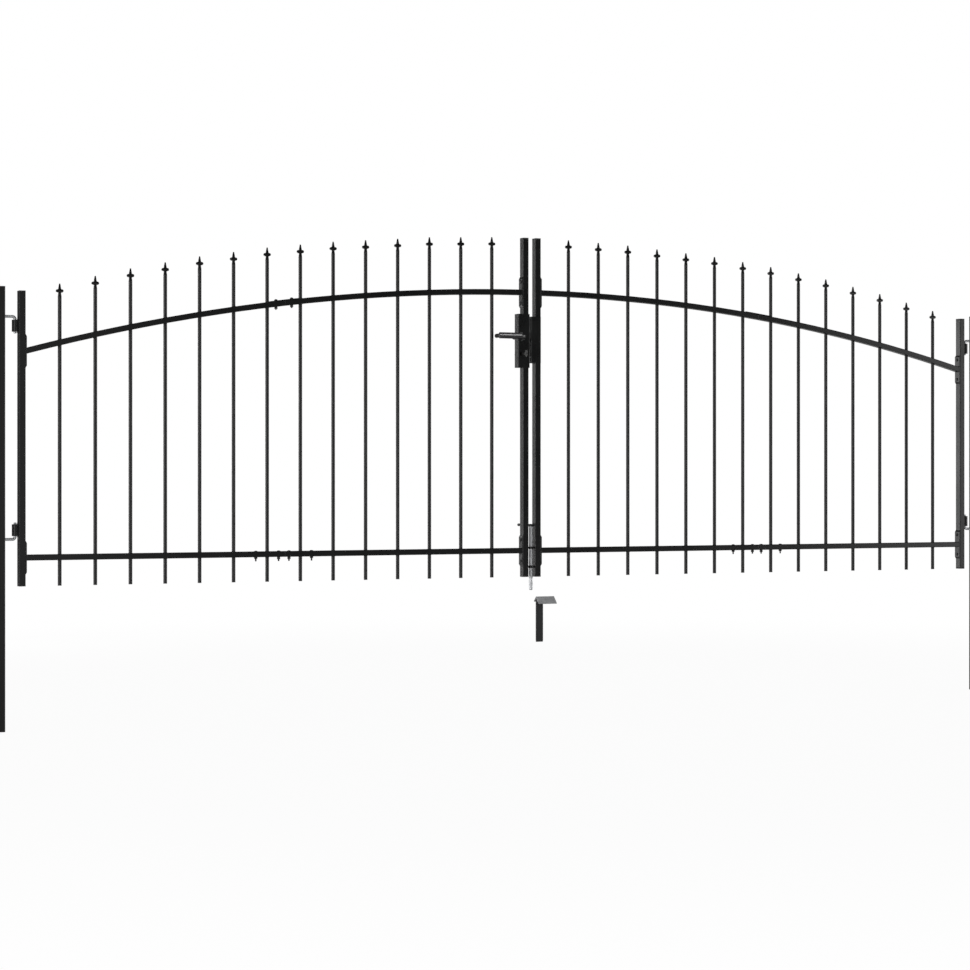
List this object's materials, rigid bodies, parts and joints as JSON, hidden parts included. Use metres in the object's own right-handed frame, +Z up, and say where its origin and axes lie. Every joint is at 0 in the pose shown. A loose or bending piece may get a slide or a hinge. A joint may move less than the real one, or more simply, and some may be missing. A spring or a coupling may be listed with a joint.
{
  "type": "double-leaf driveway gate",
  "caption": "Double-leaf driveway gate of black coated steel with arched top rails, round bars with spear heads, lock, drop bolt and ground stop, hung on square posts.",
  "frame": {"origin": "middle of the left post's foot", "axes": "+X along the closed gate from the left post to the right one, +Y towards the yard into which the leaves open, +Z up"},
  "size_m": [4.074, 0.1835, 1.738],
  "materials": {
    "coated_steel": "black powder coat, fine texture, satin",
    "black_plastic": "black moulded plastic, satin",
    "zinc": "bright zinc plating, lightly clouded",
    "dark_nickel": "dark nickel plating, satin",
    "grey_steel": "mid-grey coated steel, dull"
  },
  "bodies": {
    "posts": {"left_post": "coated_steel", "left_post_cap": "black_plastic", "left_upper_hook": "zinc", "left_lower_hook": "zinc", "right_post": "coated_steel", "right_post_cap": "black_plastic", "right_upper_hook": "zinc", "right_lower_hook": "zinc", "stop_roof": "grey_steel", "stop_stake": "coated_steel"},
    "left_leaf": {"left_side_stile": "coated_steel", "left_middle_stile": "coated_steel", "left_stile_caps": "black_plastic", "left_upper_eye": "coated_steel", "left_lower_eye": "coated_steel", "left_outer_panel": "coated_steel", "left_inner_panel": "coated_steel", "left_outer_spears": "coated_steel", "left_inner_spears": "coated_steel", "left_saddle": "coated_steel", "lock_case": "coated_steel", "lock_cylinder": "dark_nickel", "lock_key": "dark_nickel"},
    "lever_handle": {"lever": "black_plastic", "lever_knob": "black_plastic"},
    "right_leaf": {"right_side_stile": "coated_steel", "right_middle_stile": "coated_steel", "right_stile_caps": "black_plastic", "right_upper_eye": "coated_steel", "right_lower_eye": "coated_steel", "right_outer_panel": "coated_steel", "right_inner_panel": "coated_steel", "right_outer_spears": "coated_steel", "right_inner_spears": "coated_steel", "right_saddle": "coated_steel", "lock_keep": "coated_steel", "rod_guides": "coated_steel"},
    "drop_bolt": {"drop_rod": "zinc", "drop_handle": "black_plastic"}
  },
  "joints": [
    {"name": "left_leaf_hinge", "type": "hinge", "parent": "posts", "child": "left_leaf", "pos_m": [0.07, 0, 0.678], "axis": [0, 0, 1], "range_deg": [0, 100]},
    {"name": "right_leaf_hinge", "type": "hinge", "parent": "posts", "child": "right_leaf", "pos_m": [3.944, 0, 0.678], "axis": [0, 0, -1], "range_deg": [0, 100]},
    {"name": "lever_turn", "type": "hinge", "parent": "left_leaf", "child": "lever_handle", "pos_m": [1.9605, 0, 1.374], "axis": [0, -1, 0], "range_deg": [0, 40], "stiffness_Nm_per_rad": 1, "springref_deg": -17.19},
    {"name": "drop_bolt_slide", "type": "slide", "parent": "right_leaf", "child": "drop_bolt", "axis": [0, 0, 1], "range_m": [-0.05, 0.03]}
  ]
}
